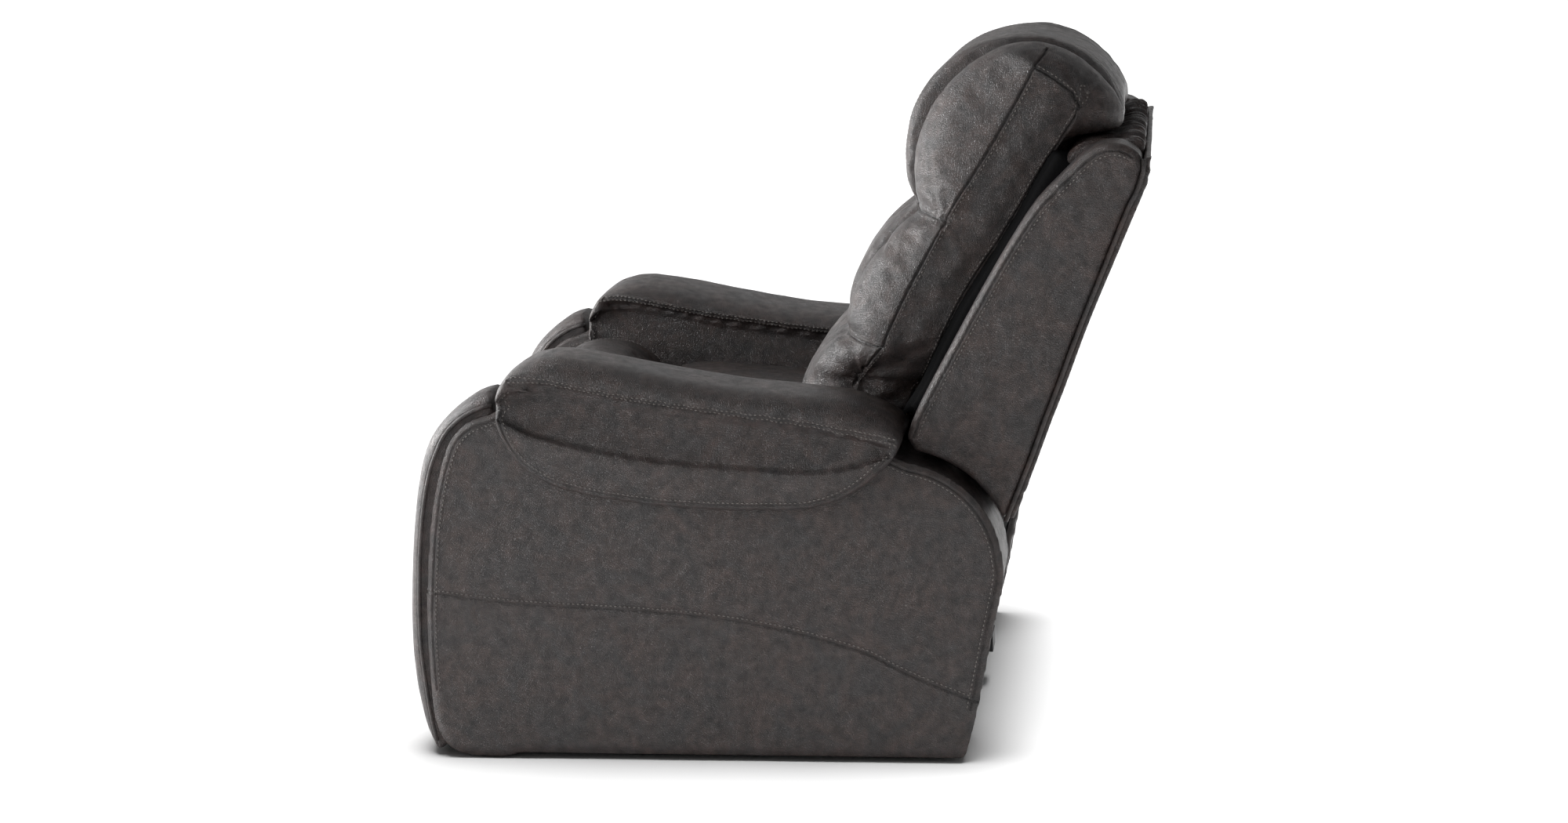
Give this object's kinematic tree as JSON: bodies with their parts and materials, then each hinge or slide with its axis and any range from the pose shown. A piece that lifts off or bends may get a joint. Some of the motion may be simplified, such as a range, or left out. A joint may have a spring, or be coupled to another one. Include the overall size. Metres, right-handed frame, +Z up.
{
  "type": "recliner armchair",
  "caption": "Power recliner armchair with padded saddle arms, a winged back, an adjustable head pillow and a fold-out footrest.",
  "frame": {"origin": "on the floor under the middle of the chair, feet at Z=0", "axes": "+Z up, -Y towards the front, +X towards the sitter's left"},
  "size_m": [0.96, 1.1711, 1.101],
  "materials": {
    "leather": "satin",
    "lining": "matte",
    "timber": "matte",
    "steel": "satin",
    "zinc": "satin",
    "plastic": "matte"
  },
  "bodies": {
    "base": {"outer_side_panel_left": "leather", "inner_side_panel_left": "leather", "arm_frame_left": "timber", "foot_front_left": "plastic", "foot_rear_left": "plastic", "outer_side_panel_right": "leather", "inner_side_panel_right": "leather", "arm_frame_right": "timber", "foot_front_right": "plastic", "foot_rear_right": "plastic", "arm_front_facing_left": "leather", "arm_pad_left": "leather", "arm_front_facing_right": "leather", "arm_pad_right": "leather", "front_cross_tube": "steel", "rear_cross_tube": "steel", "rear_apron": "lining", "recline_bracket_left": "steel", "seat_rail_left": "steel", "recline_bracket_right": "steel", "seat_rail_right": "steel", "recline_motor": "plastic", "control_panel": "plastic", "power_inlet": "plastic"},
    "seat": {"seat_frame": "timber", "seat_webbing": "lining", "seat_cushion": "leather", "seat_front_roll": "leather", "seat_runner_left": "zinc", "seat_runner_right": "zinc", "footrest_bracket_left": "steel", "footrest_bracket_right": "steel", "footrest_motor": "plastic"},
    "rear_links": {"rear_links": "steel"},
    "front_links": {"front_link_left": "steel", "front_link_right": "steel"},
    "footrest": {"footrest_mount_left": "steel", "footrest_mount_right": "steel", "footrest_board": "timber", "footrest_pad": "leather"},
    "back": {"back_frame": "timber", "back_webbing": "lining", "back_wing_left": "leather", "back_wing_right": "leather", "back_arm_left": "steel", "back_arm_right": "steel", "recline_lever": "steel", "back_shell": "leather", "back_top_cover": "leather", "back_cushion_lower": "leather", "back_cushion_upper": "leather", "headrest_guide_left": "steel", "headrest_guide_right": "steel"},
    "headrest": {"headrest_cushion": "leather", "headrest_bracket": "steel"},
    "drive_rod": {"recline_rod": "zinc"},
    "body_button_recline": {"button_recline": "zinc"},
    "body_button_upright": {"button_upright": "zinc"},
    "body_button_head_forward": {"button_head_forward": "zinc"},
    "body_button_head_back": {"button_head_back": "zinc"}
  },
  "joints": [
    {"name": "recline", "type": "hinge", "parent": "base", "child": "back", "pos_m": [0, 0.192, 0.31], "axis": [-1, 0, 0], "range_deg": [0, 38]},
    {"name": "seat_slide", "type": "slide", "parent": "base", "child": "seat", "axis": [0, -1, 0], "range_m": [0, 0.09]},
    {"name": "drive_rod", "type": "slide", "parent": "base", "child": "drive_rod", "axis": [0, -1, 0], "range_m": [0, 0.104]},
    {"name": "headrest", "type": "hinge", "parent": "back", "child": "headrest", "pos_m": [0, 0.225, 0.875], "axis": [1, 0, 0], "range_deg": [0, 30]},
    {"name": "footrest", "type": "hinge", "parent": "seat", "child": "rear_links", "pos_m": [0, -0.33, 0.312], "axis": [-1, 0, 0], "range_deg": [0, 99.95]},
    {"name": "footrest_knee", "type": "hinge", "parent": "rear_links", "child": "front_links", "pos_m": [0, -0.1951, 0.07236], "axis": [-1, 0, 0], "range_deg": [-88.01, 0]},
    {"name": "footrest_tilt", "type": "hinge", "parent": "front_links", "child": "footrest", "pos_m": [0, -0.436, 0.205], "axis": [-1, 0, 0], "range_deg": [0, 78.05]},
    {"name": "press_recline", "type": "slide", "parent": "base", "child": "body_button_recline", "axis": [1, 0, 0], "range_m": [0, 0.0015], "stiffness_N_per_m": 400},
    {"name": "press_upright", "type": "slide", "parent": "base", "child": "body_button_upright", "axis": [1, 0, 0], "range_m": [0, 0.0015], "stiffness_N_per_m": 400},
    {"name": "press_head_forward", "type": "slide", "parent": "base", "child": "body_button_head_forward", "axis": [1, 0, 0], "range_m": [0, 0.0015], "stiffness_N_per_m": 400},
    {"name": "press_head_back", "type": "slide", "parent": "base", "child": "body_button_head_back", "axis": [1, 0, 0], "range_m": [0, 0.0015], "stiffness_N_per_m": 400}
  ],
  "couplings": [
    {"joint": "seat_slide", "follows": "recline", "m_per_rad": 0.13569},
    {"joint": "drive_rod", "follows": "recline", "m_per_rad": 0.15651},
    {"joint": "footrest_knee", "follows": "footrest", "ratio": -0.87548},
    {"joint": "footrest_tilt", "follows": "footrest", "ratio": 0.77589}
  ]
}
